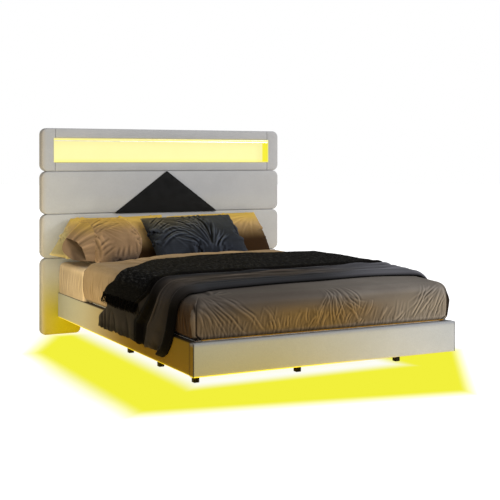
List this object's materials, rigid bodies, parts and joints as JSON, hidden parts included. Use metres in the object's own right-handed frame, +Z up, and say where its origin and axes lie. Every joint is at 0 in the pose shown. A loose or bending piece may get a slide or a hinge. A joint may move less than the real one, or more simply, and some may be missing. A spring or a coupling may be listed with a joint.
{
  "type": "upholstered bed",
  "caption": "Low upholstered bed with a panelled headboard, a lit display niche, under-bed light, slatted base, mattress and layered bedding.",
  "frame": {"origin": "on the floor, under the middle of the bed's overall length and width", "axes": "+Z up, +Y from the foot to the head, +X to the right of someone facing the headboard"},
  "size_m": [1.6424, 2.06, 1.2583],
  "materials": {
    "panel_fabric": "warm light grey woven upholstery with a soft nap",
    "rail_fabric": "warm light grey woven upholstery over thin padding",
    "niche_laminate": "smooth pale laminate, lit from the top front",
    "channel_metal": "satin extrusion",
    "diffuser": "frosted, glowing yellow",
    "triangle_leather": "near-black, fine grain, low sheen",
    "pine": "planed softwood, unfinished",
    "plywood": "raw plywood",
    "dust_cloth": "black non-woven dust cover",
    "black_plastic": "moulded, fine texture",
    "switch_plastic": "moulded, semi-gloss",
    "leg_plastic": "black moulded foot",
    "slat_wood": "sanded slat",
    "light_tape": "flexible light tape, glowing yellow",
    "button_plastic": "grey push button",
    "sheet_cotton": "tan fitted cotton sheet",
    "cover_cotton": "taupe cotton, creased and tucked",
    "comforter_cloth": "dark brown-grey brushed cotton",
    "throw_knit": "charcoal knit with a fringe",
    "back_pillow_cotton": "tan cotton case",
    "front_pillow_cotton": "tan cotton case, creased",
    "slate_pillow_cotton": "slate-blue cotton case"
  },
  "bodies": {
    "bed": {"headboard_leg_left": "panel_fabric", "headboard_leg_right": "panel_fabric", "headboard_third_row": "panel_fabric", "headboard_second_row": "panel_fabric", "top_row_cap_left": "panel_fabric", "top_row_cap_right": "panel_fabric", "top_row_lower_strip": "panel_fabric", "top_row_upper_strip": "panel_fabric", "niche_liner": "niche_laminate", "niche_light_channel": "channel_metal", "niche_light_diffuser": "diffuser", "triangle_panel": "triangle_leather", "headboard_post_left": "pine", "headboard_post_right": "pine", "headboard_back_board": "plywood", "headboard_dust_cover": "dust_cloth", "charging_module": "black_plastic", "side_rail_left_cover": "rail_fabric", "side_rail_left_board": "plywood", "side_rail_right_cover": "rail_fabric", "side_rail_right_board": "plywood", "foot_rail_cover": "rail_fabric", "foot_rail_board": "plywood", "slat_ledge_left": "pine", "slat_ledge_right": "pine", "head_cross_rail": "pine", "bearer_left": "pine", "bearer_middle": "pine", "bearer_right": "pine", "leg_left_1": "leg_plastic", "leg_left_2": "leg_plastic", "leg_left_3": "leg_plastic", "leg_middle_1": "leg_plastic", "leg_middle_2": "leg_plastic", "leg_middle_3": "leg_plastic", "leg_right_1": "leg_plastic", "leg_right_2": "leg_plastic", "leg_right_3": "leg_plastic", "slat_01": "slat_wood", "slat_02": "slat_wood", "slat_03": "slat_wood", "slat_04": "slat_wood", "slat_05": "slat_wood", "slat_06": "slat_wood", "slat_07": "slat_wood", "slat_08": "slat_wood", "slat_09": "slat_wood", "slat_10": "slat_wood", "under_bed_light_tape": "light_tape", "light_controller": "black_plastic", "mattress": "sheet_cotton", "tucked_cover": "cover_cotton", "comforter": "comforter_cloth", "throw": "throw_knit", "back_pillow_left": "back_pillow_cotton", "back_pillow_right": "back_pillow_cotton", "front_pillow_left": "front_pillow_cotton", "front_pillow_right": "slate_pillow_cotton"},
    "rocker": {"rocker_switch": "switch_plastic"},
    "button": {"light_button": "button_plastic"}
  },
  "joints": [
    {"name": "rocker_tilt", "type": "hinge", "parent": "bed", "child": "rocker", "pos_m": [0.8172, 0.9725, 0.6461], "axis": [0, 1, 0], "range_deg": [-12, 0]},
    {"name": "button_press", "type": "slide", "parent": "bed", "child": "button", "axis": [0, 0, 1], "range_m": [0, 0.0012], "stiffness_N_per_m": 500, "springref_m": -0.0006}
  ]
}
